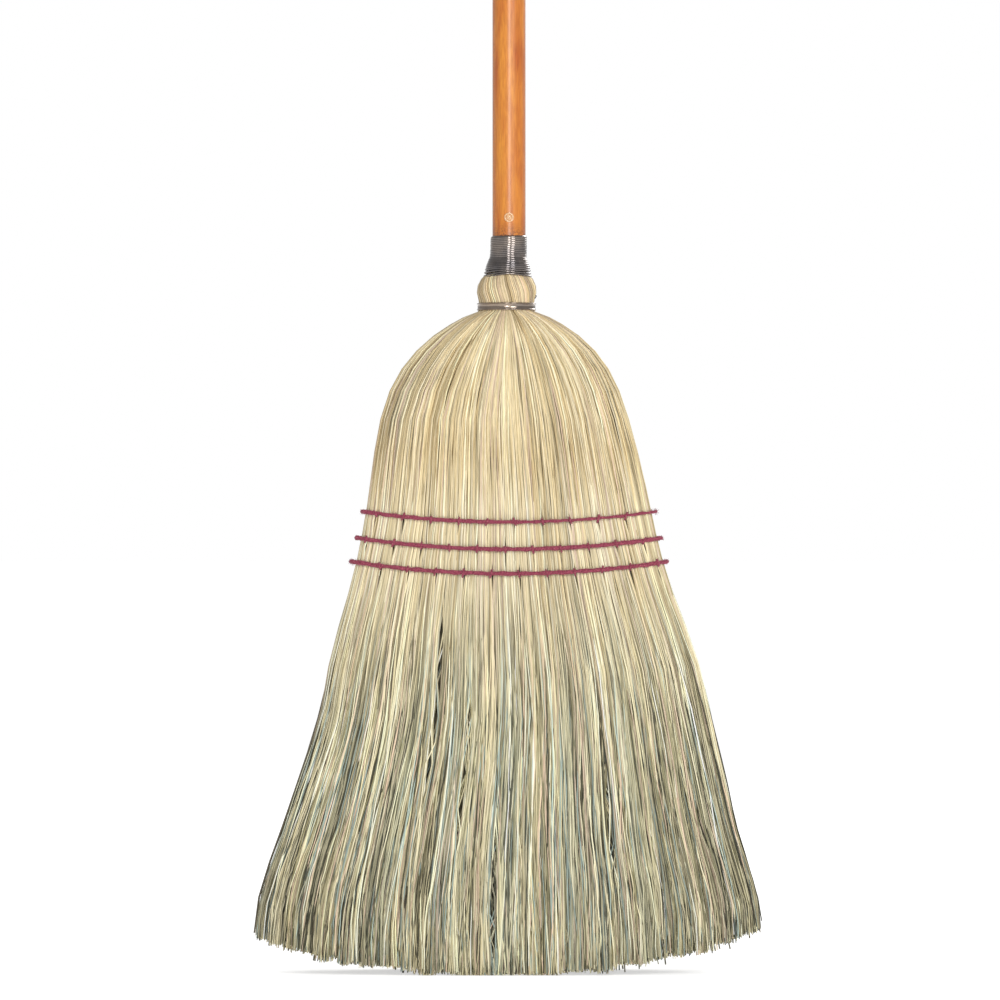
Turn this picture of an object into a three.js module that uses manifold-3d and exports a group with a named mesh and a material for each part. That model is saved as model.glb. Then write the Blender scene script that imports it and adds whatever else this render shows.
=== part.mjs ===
// Corn straw broom, standing on its trimmed tips.
// Millimetres, +Z up. +X runs along the broad face and +Y through the thickness; the front is at -Y.
// The origin is the lowest point of the straw, on the handle's axis.

import * as THREE from 'three';
import { LoftGeometry } from 'three/addons/geometries/LoftGeometry.js';
import { mergeVertices } from 'three/addons/utils/BufferGeometryUtils.js';
import Module from 'manifold-3d';

const wasm = await Module();
wasm.setup();

// ---- Driving dimensions ----

const OVERALL_HEIGHT = 1400;
const GAP = 0.3;

const HANDLE_RADIUS = 11.9;
const TENON_RADIUS = 8.8;
const HANDLE_LOWER_END = 408;
const TENON_TOP = 474;
const GRIP_START = 488;

const STRAW_TOP = 505;
const SHOULDER_TOP = 502;
const INNER_TOP = 440;
const CORNER_RISE = 29;

const BAND_BOTTOM = 476.3;
const BAND_TOP = 481.7;
const BAND_INNER_RADIUS = 20.5;
const BAND_OUTER_RADIUS = 21.3;

const WIRE_RADIUS = 0.7;
const WINDING_PITCH = 1.75;
const WINDING_BOTTOM = 502;
const WINDING_CONE_TOP = 515.5;
const WINDING_TOP = 530;
const WINDING_LOW_RADIUS = 17.7;
const WINDING_HIGH_RADIUS = 12.9;

const INNER_BUTT_RADIUS = 12;
const INNER_BUTT_BOTTOM = 446;
const INNER_BUTT_TOP = 472;
const BINDING_PITCH = 3.4;
const BINDING_BOTTOM = 448;
const BINDING_TOP = 471;

const TWINE_RADIUS = 1.6;
const STITCH_LEG_RADIUS = 0.75;
const STITCH_ROWS = [
  { name: 'stitch_row_upper', middle: 324, end: 332 },
  { name: 'stitch_row_middle', middle: 304.5, end: 313 },
  { name: 'stitch_row_lower', middle: 287, end: 296 },
];

const NAIL_HEIGHT = 543;
const NAIL_HEAD_RADIUS = 2.3;
const NAIL_HEAD_THICKNESS = 0.9;
const NAIL_SHANK_RADIUS = 0.9;
const NAIL_LENGTH = 15;

// The straw's half width and half thickness at each height, from the tips up to the neck.
const HEAD_PROFILE = [
  { z: 0, halfWidth: 186, halfThickness: 36 },
  { z: 40, halfWidth: 182, halfThickness: 35 },
  { z: 110, halfWidth: 162.5, halfThickness: 32 },
  { z: 170, halfWidth: 146, halfThickness: 28 },
  { z: 225, halfWidth: 132, halfThickness: 23.5 },
  { z: 265, halfWidth: 118.5, halfThickness: 19.5 },
  { z: 300, halfWidth: 110.5, halfThickness: 17.5 },
  { z: 340, halfWidth: 102.5, halfThickness: 18.5 },
  { z: 385, halfWidth: 93.5, halfThickness: 26 },
  { z: 412, halfWidth: 86, halfThickness: 31 },
  { z: 435, halfWidth: 74.5, halfThickness: 33 },
  { z: 455, halfWidth: 57, halfThickness: 32 },
  { z: 467, halfWidth: 40, halfThickness: 28.5 },
  { z: 473, halfWidth: 28, halfThickness: 24 },
  { z: 476, halfWidth: 20.2, halfThickness: 20.2 },
  { z: 482, halfWidth: 20.2, halfThickness: 20.2 },
  { z: 487, halfWidth: 21.2, halfThickness: 21.2 },
  { z: 494, halfWidth: 20, halfThickness: 20 },
  { z: 499, halfWidth: 18, halfThickness: 18 },
  { z: 502, halfWidth: 16.2, halfThickness: 16.2 },
  { z: STRAW_TOP, halfWidth: 14.9, halfThickness: 14.9 },
];

// Handfuls of straw are slabs of the head, from one share of its half width to the next.
const SLAB_WIDTH = 0.2;
const SLABS_PER_SIDE = 4;
const SLAB_HALF_GAP = 0.0105;
const SHOULDER_SHARE = SLAB_WIDTH * SLABS_PER_SIDE;
const COVER_INNER_SHARE = 0.45;
const INNER_SHARE = 0.42;

// The covers stay outside the wired butts below the band, and outside the handle above it.
const CORE_RADIUS_AT_BUTTS = 14.4;
const CORE_RADIUS_AT_HANDLE = 12;

// A round section at the neck turns into a fuller oval at the stitched part.
const ROUND_EXPONENT = 2;
const OVAL_EXPONENT = 2.5;
const ROUND_HEIGHT = 474;
const OVAL_HEIGHT = 400;

// ---- Materials ----

function straw(hex) {
  return new THREE.MeshStandardMaterial({ color: hex, roughness: 0.8, metalness: 0 });
}

function steel(hex) {
  return new THREE.MeshStandardMaterial({ color: hex, roughness: 0.35, metalness: 0.9 });
}

function lacqueredWood() {
  return new THREE.MeshStandardMaterial({ color: 0xd0832f, roughness: 0.3, metalness: 0 });
}

function twine() {
  return new THREE.MeshStandardMaterial({ color: 0xa13355, roughness: 0.75, metalness: 0 });
}

// ---- The head's shape ----

function lerp(a, b, t) {
  return a + (b - a) * t;
}

function clamp01(t) {
  return Math.min(1, Math.max(0, t));
}

function halfSizes(z) {
  const next = HEAD_PROFILE.findIndex((station) => station.z >= z);
  const above = HEAD_PROFILE[Math.max(1, next)];
  const below = HEAD_PROFILE[Math.max(1, next) - 1];
  const t = clamp01((z - below.z) / (above.z - below.z));
  return {
    width: lerp(below.halfWidth, above.halfWidth, t),
    thickness: lerp(below.halfThickness, above.halfThickness, t),
  };
}

function ovalExponent(z) {
  const t = clamp01((z - OVAL_HEIGHT) / (ROUND_HEIGHT - OVAL_HEIGHT));
  return lerp(OVAL_EXPONENT, ROUND_EXPONENT, t);
}

// Distance from the middle plane to the straw's outer surface, at a share u of the half width.
function outerDepth(u, z) {
  const n = ovalExponent(z);
  const share = Math.max(0, 1 - Math.abs(u) ** n) ** (1 / n);
  return halfSizes(z).thickness * share;
}

// Distance from the middle plane to the inner side of the cover straw.
function coverInnerDepth(u, z) {
  const { width, thickness } = halfSizes(z);
  const x = u * width;
  const lowest = z < INNER_TOP ? 0 : CORE_RADIUS_AT_BUTTS;
  const core = z > BAND_BOTTOM ? CORE_RADIUS_AT_HANDLE : lowest;
  return Math.max(COVER_INNER_SHARE * thickness, Math.sqrt(Math.max(0, core ** 2 - x ** 2)));
}

// The tips are trimmed to a shallow curve, level over the middle handfuls.
function trimHeight(u) {
  const t = clamp01((Math.abs(u) - SLAB_WIDTH) / (1 - SLAB_WIDTH));
  return CORNER_RISE * t ** 2;
}

function stationsUpTo(top) {
  return [...HEAD_PROFILE.map((station) => station.z).filter((z) => z < top), top];
}

// A point of a straw section: the lowest section follows the trimmed curve.
function headPoint(u, depth, z) {
  const height = z === 0 ? trimHeight(u) : z;
  return new THREE.Vector3(u * halfSizes(height).width, depth(u, height), height);
}

function loft(sections, caps = true) {
  return new LoftGeometry(sections, { capStart: caps, capEnd: caps });
}

// ---- Straw ----

function coverGeometry(from, to, side) {
  const inset = [from + SLAB_HALF_GAP, (from + to) / 2, to - SLAB_HALF_GAP];
  const outward = (u, z) => side * outerDepth(u, z);
  const inward = (u, z) => side * coverInnerDepth(u, z);
  const nearSide = side < 0 ? outward : inward;
  const farSide = side < 0 ? inward : outward;
  const sections = stationsUpTo(STRAW_TOP).map((z) => [
    ...inset.map((u) => headPoint(u, nearSide, z)),
    ...inset.toReversed().map((u) => headPoint(u, farSide, z)),
  ]);
  return loft(sections);
}

function shoulderGeometry(side) {
  const inner = SHOULDER_SHARE + SLAB_HALF_GAP;
  const outward = [inner, 0.88, 0.95, 0.985];
  const front = outward.map((u) => [u, -1]);
  const back = outward.toReversed().map((u) => [u, 1]);
  const outline = [...front, [1, 0], ...back];
  const ordered = side > 0 ? outline : outline.toReversed();
  const sections = stationsUpTo(SHOULDER_TOP).map((z) =>
    ordered.map(([u, face]) => headPoint(side * u, (share, height) => face * outerDepth(share, height), z)),
  );
  return loft(sections);
}

function innerDepth(u, z) {
  return Math.min(INNER_SHARE * halfSizes(z).thickness, outerDepth(u, z) - GAP);
}

function innerSlabGeometry(from, to) {
  const edges = [from + SLAB_HALF_GAP, to - SLAB_HALF_GAP];
  const sections = stationsUpTo(INNER_TOP).map((z) => [
    ...edges.map((u) => headPoint(u, (share, height) => -innerDepth(share, height), z)),
    ...edges.toReversed().map((u) => headPoint(u, innerDepth, z)),
  ]);
  return loft(sections);
}

// The middle handful wraps its butts round the handle's tenon and fans out below it.
function innerMiddleGeometry() {
  const corners = 12;
  const edge = SLAB_WIDTH - SLAB_HALF_GAP;
  const angles = Array.from({ length: corners }, (_, i) => ((i + 0.5) / corners) * 2 * Math.PI);
  const rectangle = (angle, z) => {
    const reach = Math.max(Math.abs(Math.cos(angle)), Math.abs(Math.sin(angle)));
    const across = (edge * Math.cos(angle)) / reach;
    const through = Math.sin(angle) / reach;
    return headPoint(across, (share, height) => through * innerDepth(edge, height), z);
  };
  const circle = (angle, z) =>
    new THREE.Vector3(INNER_BUTT_RADIUS * Math.cos(angle), INNER_BUTT_RADIUS * Math.sin(angle), z);
  const sections = [
    ...stationsUpTo(INNER_TOP).map((z) => angles.map((angle) => rectangle(angle, z))),
    ...[INNER_BUTT_BOTTOM, INNER_BUTT_TOP].map((z) => angles.map((angle) => circle(angle, z))),
  ];
  return loft(sections);
}

// ---- Tubes along a path ----

// A round cord along points; its tangents stay near level, so its section is set from the vertical.
function cordGeometry(points, radius, sides, closed) {
  const up = new THREE.Vector3(0, 0, 1);
  const last = points.length - 1;
  const sections = points.map((point, i) => {
    const before = points[closed ? (i + last) % points.length : Math.max(0, i - 1)];
    const after = points[closed ? (i + 1) % points.length : Math.min(last, i + 1)];
    const along = after.clone().sub(before).normalize();
    const across = up.clone().cross(along).normalize();
    const over = along.clone().cross(across);
    return Array.from({ length: sides }, (_, j) => {
      const turn = (j / sides) * 2 * Math.PI;
      return point
        .clone()
        .addScaledVector(across, radius * Math.cos(turn))
        .addScaledVector(over, radius * Math.sin(turn));
    });
  });
  return closed ? loft([...sections, sections[0]], false) : loft(sections);
}

function helixGeometry(bottom, top, pitch, radiusAt) {
  const stepsPerTurn = 16;
  const sides = 5;
  const steps = Math.round(((top - bottom) / pitch) * stepsPerTurn);
  const points = Array.from({ length: steps + 1 }, (_, i) => {
    const angle = (i / stepsPerTurn) * 2 * Math.PI;
    const z = bottom + (i / stepsPerTurn) * pitch;
    const radius = radiusAt(z);
    return new THREE.Vector3(radius * Math.cos(angle), radius * Math.sin(angle), z);
  });
  return cordGeometry(points, WIRE_RADIUS, sides, false);
}

function windingRadius(z) {
  const t = clamp01((z - WINDING_BOTTOM) / (WINDING_CONE_TOP - WINDING_BOTTOM));
  return lerp(WINDING_LOW_RADIUS, WINDING_HIGH_RADIUS, t);
}

function bindingRadius() {
  const chordSag = 0.25;
  return INNER_BUTT_RADIUS + GAP + WIRE_RADIUS + chordSag;
}

// ---- Joins and cuts ----

function toManifold(geometry) {
  const bare = new THREE.BufferGeometry();
  bare.setAttribute('position', geometry.attributes.position);
  bare.setIndex(geometry.index);
  const merged = mergeVertices(bare, 1e-4);
  return new wasm.Manifold(
    new wasm.Mesh({
      numProp: 3,
      vertProperties: new Float32Array(merged.attributes.position.array),
      triVerts: new Uint32Array(merged.index.array),
    }),
  );
}

function fromManifold(solid) {
  const { vertProperties, triVerts } = solid.getMesh();
  const geometry = new THREE.BufferGeometry();
  geometry.setAttribute('position', new THREE.BufferAttribute(new Float32Array(vertProperties), 3));
  geometry.setIndex(new THREE.BufferAttribute(new Uint32Array(triVerts), 1));
  geometry.computeVertexNormals();
  return geometry;
}

function cut(geometry, tools) {
  const cutAway = (solid, tool) => solid.subtract(toManifold(tool));
  return fromManifold(tools.reduce(cutAway, toManifold(geometry)));
}

function join(geometries) {
  const [first, ...rest] = geometries.map(toManifold);
  return fromManifold(rest.reduce((solid, piece) => solid.add(piece), first));
}

// ---- Handle and nail ----

function lathe(profile, segments) {
  const points = profile.map(([radius, z]) => new THREE.Vector2(radius, z));
  return new THREE.LatheGeometry(points, segments).rotateX(Math.PI / 2);
}

// The handle's lower end is turned down to a tenon and tapers inside the straw.
function handleGeometry(offset = 0) {
  const profile = [
    [0, HANDLE_LOWER_END - offset],
    [6 + offset, HANDLE_LOWER_END - offset],
    [7.6 + offset, 425],
    [TENON_RADIUS + offset, INNER_BUTT_BOTTOM],
    [TENON_RADIUS + offset, TENON_TOP],
    [HANDLE_RADIUS + offset, GRIP_START],
    [HANDLE_RADIUS + offset, OVERALL_HEIGHT - 15],
    [11.1 + offset, OVERALL_HEIGHT - 6],
    [7.6 + offset, OVERALL_HEIGHT - 1],
    [0, OVERALL_HEIGHT + offset],
  ];
  return lathe(profile, 24);
}

// A rod through the handle's front: its axis lies along Y and its head end is at -Y.
function rodAlongY(profile, segments) {
  const points = profile.map(([radius, along]) => new THREE.Vector2(radius, along));
  return new THREE.LatheGeometry(points, segments).translate(0, -HANDLE_RADIUS, 0);
}

function nailGeometry() {
  const headBack = -GAP;
  const headFront = headBack - NAIL_HEAD_THICKNESS;
  const tip = NAIL_LENGTH - 1;
  return rodAlongY(
    [
      [0, headFront],
      [NAIL_HEAD_RADIUS, headFront],
      [NAIL_HEAD_RADIUS, headBack],
      [NAIL_SHANK_RADIUS, headBack],
      [NAIL_SHANK_RADIUS, tip - 2],
      [0, tip],
    ],
    12,
  ).translate(0, 0, NAIL_HEIGHT);
}

function nailHoleGeometry() {
  const radius = NAIL_SHANK_RADIUS + GAP;
  const mouth = -2;
  return rodAlongY(
    [
      [0, mouth],
      [radius, mouth],
      [radius, NAIL_LENGTH],
      [0, NAIL_LENGTH],
    ],
    12,
  ).translate(0, 0, NAIL_HEIGHT);
}

// ---- Neck band ----

function bandGeometry() {
  const edge = 0.25;
  const profile = [
    [BAND_INNER_RADIUS, BAND_BOTTOM],
    [BAND_OUTER_RADIUS - edge, BAND_BOTTOM],
    [BAND_OUTER_RADIUS, BAND_BOTTOM + edge],
    [BAND_OUTER_RADIUS, BAND_TOP - edge],
    [BAND_OUTER_RADIUS - edge, BAND_TOP],
    [BAND_INNER_RADIUS, BAND_TOP],
    [BAND_INNER_RADIUS, BAND_BOTTOM],
  ];
  return lathe(profile, 40);
}

// ---- Stitching ----

function stitchHeight(row, u) {
  return lerp(row.middle, row.end, u ** 2);
}

// A point on the oval line just outside the straw, at a turn angle round the head.
function wrapPoint(row, angle, offset) {
  const power = 2 / OVAL_EXPONENT;
  const across = Math.sign(Math.cos(angle)) * Math.abs(Math.cos(angle)) ** power;
  const through = Math.sign(Math.sin(angle)) * Math.abs(Math.sin(angle)) ** power;
  const z = stitchHeight(row, across);
  const { width, thickness } = halfSizes(z);
  return new THREE.Vector3((width + offset) * across, (thickness + offset) * through, z);
}

function stitchRowGeometry(row) {
  const wrapSteps = 64;
  const offset = TWINE_RADIUS + 2 * GAP;
  const angles = Array.from({ length: wrapSteps }, (_, i) => (i / wrapSteps) * 2 * Math.PI);
  const wrap = angles.map((angle) => wrapPoint(row, angle, offset));
  const pieces = [cordGeometry(wrap, TWINE_RADIUS, 6, true)];
  for (let k = -SLABS_PER_SIDE; k <= SLABS_PER_SIDE; k++) {
    pieces.push(stitchLegGeometry(row, k * SLAB_WIDTH, STITCH_LEG_RADIUS, offset));
  }
  return join(pieces);
}

// A leg of twine that runs through the broom from the front wrap to the back one.
function stitchLegGeometry(row, u, radius, offset) {
  const z = stitchHeight(row, u);
  const reach = outerDepth(u, z) + offset;
  const x = u * halfSizes(z).width;
  return new THREE.CylinderGeometry(radius, radius, 2 * reach, 6).translate(x, 0, z);
}

// ---- Assembly ----

const broom = new THREE.Group();

function addPiece(name, geometry, material) {
  const mesh = new THREE.Mesh(geometry, material);
  mesh.name = name;
  broom.add(mesh);
}

addPiece('handle', cut(handleGeometry(), [nailHoleGeometry()]), lacqueredWood());
addPiece('anchor_nail', nailGeometry(), steel(0x8a8278));

const middleStitchHoles = STITCH_ROWS.map((row) => stitchLegGeometry(row, 0, STITCH_LEG_RADIUS + GAP, 0));
const innerMiddle = cut(innerMiddleGeometry(), [handleGeometry(GAP), ...middleStitchHoles]);
addPiece('inner_straw_middle', innerMiddle, straw(0xcbb98a));
const binding = helixGeometry(BINDING_BOTTOM, BINDING_TOP, BINDING_PITCH, bindingRadius);
addPiece('binding_wire', binding, steel(0x6e6b6c));

for (let k = 1; k < SLABS_PER_SIDE; k++) {
  const from = k * SLAB_WIDTH;
  const to = from + SLAB_WIDTH;
  addPiece(`inner_straw_right_${k}`, innerSlabGeometry(from, to), straw(0xc8b584));
  addPiece(`inner_straw_left_${k}`, innerSlabGeometry(-to, -from), straw(0xc8b584));
}

for (let k = 0; k < 2 * SLABS_PER_SIDE; k++) {
  const from = (k - SLABS_PER_SIDE) * SLAB_WIDTH;
  const to = from + SLAB_WIDTH;
  addPiece(`cover_straw_front_${k + 1}`, coverGeometry(from, to, -1), straw(0xdccba0));
  addPiece(`cover_straw_back_${k + 1}`, coverGeometry(from, to, 1), straw(0xdccba0));
}

addPiece('shoulder_straw_right', shoulderGeometry(1), straw(0xd4c294));
addPiece('shoulder_straw_left', shoulderGeometry(-1), straw(0xd4c294));

addPiece('neck_band', bandGeometry(), steel(0x9a8f86));
const winding = helixGeometry(WINDING_BOTTOM, WINDING_TOP, WINDING_PITCH, windingRadius);
addPiece('winding_wire', winding, steel(0x6e6b6c));

for (const row of STITCH_ROWS) {
  addPiece(row.name, stitchRowGeometry(row), twine());
}

export default broom;
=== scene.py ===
"""A stitched corn straw broom in soft studio light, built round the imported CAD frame.

Metres, +Z up, front at -Y.
"""

import math

import bpy
import numpy as np
from mathutils import Matrix, Vector


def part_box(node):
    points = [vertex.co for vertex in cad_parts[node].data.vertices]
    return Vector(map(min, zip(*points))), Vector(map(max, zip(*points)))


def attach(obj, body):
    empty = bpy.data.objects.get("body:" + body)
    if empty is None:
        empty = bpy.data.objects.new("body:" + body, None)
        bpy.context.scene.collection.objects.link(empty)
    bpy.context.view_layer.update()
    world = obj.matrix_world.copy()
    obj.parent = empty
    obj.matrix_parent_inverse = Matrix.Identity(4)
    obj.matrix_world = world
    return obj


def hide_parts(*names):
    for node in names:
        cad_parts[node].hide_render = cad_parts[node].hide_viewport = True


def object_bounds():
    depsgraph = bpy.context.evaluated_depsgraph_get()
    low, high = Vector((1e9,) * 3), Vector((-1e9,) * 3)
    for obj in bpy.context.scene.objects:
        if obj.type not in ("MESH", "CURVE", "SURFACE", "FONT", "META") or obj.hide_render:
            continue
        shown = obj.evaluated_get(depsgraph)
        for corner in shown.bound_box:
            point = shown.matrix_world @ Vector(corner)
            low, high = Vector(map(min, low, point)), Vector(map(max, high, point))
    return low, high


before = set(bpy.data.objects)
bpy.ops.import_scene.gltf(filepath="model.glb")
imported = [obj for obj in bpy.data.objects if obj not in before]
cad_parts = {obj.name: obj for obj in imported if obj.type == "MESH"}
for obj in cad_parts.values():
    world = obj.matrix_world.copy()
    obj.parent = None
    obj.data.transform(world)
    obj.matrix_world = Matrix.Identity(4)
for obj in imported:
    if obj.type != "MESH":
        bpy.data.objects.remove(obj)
CAD_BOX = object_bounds()
MM = 0.001
TAU = 2 * math.pi
rng = np.random.default_rng(20)


# ---- Numbers taken from the frame ----

def box(node):
    low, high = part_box(node)
    return np.array(low), np.array(high)


HEAD_TOP = float(box("cover_straw_front_5")[1][2])
BAND_LOW, BAND_HIGH = box("neck_band")
WINDING_LOW, WINDING_HIGH = box("winding_wire")
HANDLE_LOW, HANDLE_HIGH = box("handle")
HANDLE_RADIUS = float(HANDLE_HIGH[0])
STITCH_NODES = ("stitch_row_upper", "stitch_row_middle", "stitch_row_lower")
CAD_TWINE_RADIUS = 1.6 * MM
TRIM_ZONE = 35 * MM
ROUND_HEIGHT = 474 * MM
OVAL_HEIGHT = 400 * MM
OVAL_EXPONENT = 2.5
SLABS = 8
SLAB_SHARE = 0.2


def cad_points(word):
    """All vertices of the CAD nodes with word in their names."""
    sets = []
    for name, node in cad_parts.items():
        if word in name:
            points = np.empty(3 * len(node.data.vertices))
            node.data.vertices.foreach_get("co", points)
            sets.append(points.reshape(-1, 3))
    return np.vstack(sets)


def straw_profile():
    """Heights, half widths and half thicknesses of the CAD straw above its trimmed tips."""
    points = np.abs(np.vstack([cad_points("cover_straw"), cad_points("shoulder_straw")]))
    points = points[points[:, 2] > TRIM_ZONE]
    keys = np.round(points[:, 2], 4)
    heights = np.unique(keys)
    widths = np.array([points[keys == z, 0].max() for z in heights])
    depths = np.array([points[keys == z, 1].max() for z in heights])
    floor_size = np.abs(np.array(CAD_BOX)).max(axis=0)
    return (
        np.insert(heights, 0, 0.0),
        np.insert(widths, 0, floor_size[0] + 1.5 * MM),
        np.insert(depths, 0, floor_size[1]),
    )


def trim_line():
    """The height of the trimmed tips against the distance from the middle."""
    points = np.vstack([cad_points("cover_straw"), cad_points("shoulder_straw")])
    tips = points[points[:, 2] < TRIM_ZONE]
    order = np.argsort(np.abs(tips[:, 0]))
    return np.abs(tips[order, 0]), tips[order, 2]


HEIGHTS, WIDTHS, DEPTHS = straw_profile()
TRIM_X, TRIM_Z = trim_line()


def smooth_curve(xs, ys, at):
    """A smooth curve through the points that never overshoots them."""
    step = np.diff(xs)
    slope = np.diff(ys) / step
    before, after = slope[:-1], slope[1:]
    inner = np.where(after * before > 0, 2 * after * before / (after + before + 1e-12), 0)
    tangent = np.concatenate([[slope[0]], inner, [slope[-1]]])
    at = np.clip(at, xs[0], xs[-1])
    i = np.clip(np.searchsorted(xs, at) - 1, 0, len(xs) - 2)
    t = (at - xs[i]) / step[i]
    h00 = (1 + 2 * t) * (1 - t) ** 2
    h10 = t * (1 - t) ** 2
    h01 = t**2 * (3 - 2 * t)
    h11 = t**2 * (t - 1)
    return h00 * ys[i] + h10 * step[i] * tangent[i] + h01 * ys[i + 1] + h11 * step[i] * tangent[i + 1]


def neck_swell(z):
    """How far the straw of the neck swells past the solid's outline."""
    return 1.3 * MM * np.exp(-(((z - 0.494) / 0.008) ** 2))


def half_width(z):
    flare = 2.7 * MM * np.exp(-(((z - 0.25) / 0.042) ** 2))
    return smooth_curve(HEIGHTS, WIDTHS, z) + flare + neck_swell(z)


def half_depth(z):
    return smooth_curve(HEIGHTS, DEPTHS, z) + neck_swell(z)


def smoothstep(low, high, value):
    t = np.clip((value - low) / (high - low), 0, 1)
    return t * t * (3 - 2 * t)


def exponent(z):
    t = np.clip((z - OVAL_HEIGHT) / (ROUND_HEIGHT - OVAL_HEIGHT), 0, 1)
    return OVAL_EXPONENT + (2 - OVAL_EXPONENT) * t


def outline(angle, z):
    """Shares of the half width and half thickness on the head's outline, at a turn angle."""
    power = 2 / exponent(z)
    c, s = np.cos(angle), np.sin(angle)
    return np.sign(c) * np.abs(c) ** power, np.sign(s) * np.abs(s) ** power


def trim_height(x):
    """The height of the tips, a little more bowed than the solid's."""
    bow = 3.2 * MM * np.exp(-(((np.abs(x) - 100 * MM) / (48 * MM)) ** 2))
    return np.interp(np.abs(x), TRIM_X, TRIM_Z) + bow


class StitchRow:
    """One row of stitching: its height across the broom and where its stitches are."""

    PITCH = 20 * MM

    def __init__(self, node, shift):
        low, high = box(node)
        self.node = node
        self.middle = low[2] + CAD_TWINE_RADIUS
        self.end = high[2] - CAD_TWINE_RADIUS
        self.width = float(high[0])
        reach = self.width - 8 * MM
        first = math.ceil((-reach - shift) / self.PITCH)
        last = math.floor((reach - shift) / self.PITCH)
        self.stitches = np.array([k * self.PITCH + shift for k in range(first, last + 1)])

    def height(self, x):
        return self.middle + (self.end - self.middle) * np.clip(x / self.width, -1, 1) ** 2


ROWS = [StitchRow(node, shift * MM) for node, shift in zip(STITCH_NODES, (4.0, -3.0, 7.0))]
STITCH_LOW = min(row.middle for row in ROWS)


# ---- Straw paths ----

NECK_TWIST = -0.3
CLUMP_COUNT = 120
TRIM_SLANT = 2.2 * MM
PARTINGS = ((-0.40, 0.285, 0.15), (0.43, 0.17, 0.08), (-0.065, 0.12, 0.03), (-0.23, 0.21, 0.11))
EDGE_SHARE = 0.95
EDGE_ROOM = 0.055
FULL_GIRTH = float(half_width(0.3) + 0.8 * half_depth(0.3))


def even_angles(count):
    """Turn angles that are evenly spread along the outline at the tips, with a little jitter."""
    z = 0.1
    turn = np.linspace(0, TAU, 4000)
    u, v = outline(turn, z)
    x, y = u * half_width(z), v * half_depth(z)
    length = np.concatenate([[0], np.cumsum(np.hypot(np.diff(x), np.diff(y)))])
    wanted = (np.arange(count) + rng.uniform(-0.5, 0.5, count)) / count * length[-1]
    return np.interp(wanted % length[-1], length, turn)


clump_angle = np.sort(even_angles(CLUMP_COUNT))
clump_pull = rng.uniform(0.0, 0.26, CLUMP_COUNT) + 0.2 * (rng.random(CLUMP_COUNT) < 0.1)
clump_inset = rng.uniform(0, 1.1 * MM, CLUMP_COUNT)
clump_trim = rng.normal(0, 1.6 * MM, CLUMP_COUNT)
clump_cool = np.clip(rng.normal(0.3, 0.3, CLUMP_COUNT), 0, 1)
clump_light = rng.normal(1.0, 0.03, CLUMP_COUNT)


def sway(z):
    """The head isn't quite straight: its neck and dome lean a little left and its skirt a little right."""
    skirt = np.exp(-(((z - 0.19) / 0.075) ** 2))
    dome = np.exp(-(((z - 0.41) / 0.055) ** 2))
    neck = np.exp(-(((z - 0.488) / 0.028) ** 2))
    return (4.6 * skirt - 3.2 * dome - 1.3 * neck) * MM


def room_at(z):
    """The share of the head's straws that its girth has room for on the surface."""
    return np.clip((half_width(z) + 0.8 * half_depth(z)) / FULL_GIRTH, 0, 1)


def keep_inside(x, limit):
    """Draws straws that stray past the head's side back to just inside it."""
    share = np.abs(x) / limit
    past = np.maximum(share - EDGE_SHARE, 0)
    drawn = EDGE_SHARE + EDGE_ROOM * (1 - np.exp(-past / EDGE_ROOM))
    return np.where(share > EDGE_SHARE, np.sign(x) * drawn * limit, x)


def nearest_clump(angle):
    gap = np.abs((angle[:, None] - clump_angle[None, :] + math.pi) % TAU - math.pi)
    return gap.argmin(axis=1)


def waves(count, z, shortest, longest):
    """Smooth random wander along z, of size about 1, one row for each straw."""
    total = np.zeros((count, z.shape[-1]))
    for _ in range(2):
        length = rng.uniform(shortest, longest, (count, 1))
        phase = rng.uniform(0, TAU, (count, 1))
        total += np.sin(TAU * z / length + phase)
    return total / 1.4


def stitch_push(x, z):
    """How far the twine spreads the straw sideways at each stitch."""
    push = np.zeros_like(x)
    for row in ROWS:
        nearest = row.stitches[np.abs(x[..., None] - row.stitches).argmin(axis=-1)]
        off = x - nearest
        fall = np.exp(-(((z - row.height(x) + 3 * MM) / (7 * MM)) ** 2))
        push += 0.75 * MM * np.sign(off) * np.exp(-((off / (2.6 * MM)) ** 2)) * fall
    return push


def stitch_pinch(x, z):
    """How far the twine presses the straw in along each row."""
    pinch = np.zeros_like(x)
    for row in ROWS:
        pinch += 1.0 * MM * np.exp(-(((z - row.height(x)) / (4.5 * MM)) ** 2))
    return pinch


def parting_push(x, z):
    """How far the skirt's straws stand apart where it has parted into handfuls."""
    push = np.zeros_like(x)
    for share, top, bottom in PARTINGS:
        off = x - share * half_width(z)
        opened = smoothstep(top, 0.6 * top + 0.4 * bottom, z) * smoothstep(bottom - 0.03, bottom, z)
        push += 1.5 * MM * np.sign(off) * np.exp(-((off / (4 * MM)) ** 2)) * opened
    return push


def straw_heights(top, tips, steps, knots=None):
    """Heights of each straw's steps from its top to its tip, closer where the head bends."""
    if knots is None:
        share = np.linspace(0, 1, steps)[None, :]
        return top[:, None] + (tips - top)[:, None] * share
    knots = np.asarray(knots)[None, :]
    share = (knots[:, :1] - knots) / (knots[:, :1] - knots[:, -1:])
    low = tips[:, None]
    return np.where(share < 1, knots + (low - knots[:, -1:]) * share**3, low)


LONG_KNOTS = np.array([
    505, 499, 494, 489, 484, 480, 477, 475, 471, 466, 458, 447, 434, 418, 398, 374, 350,
    334, 324, 314, 305, 296, 286, 270, 245, 215, 183, 150, 118, 86, 56, 28, 0,
]) * MM


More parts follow.
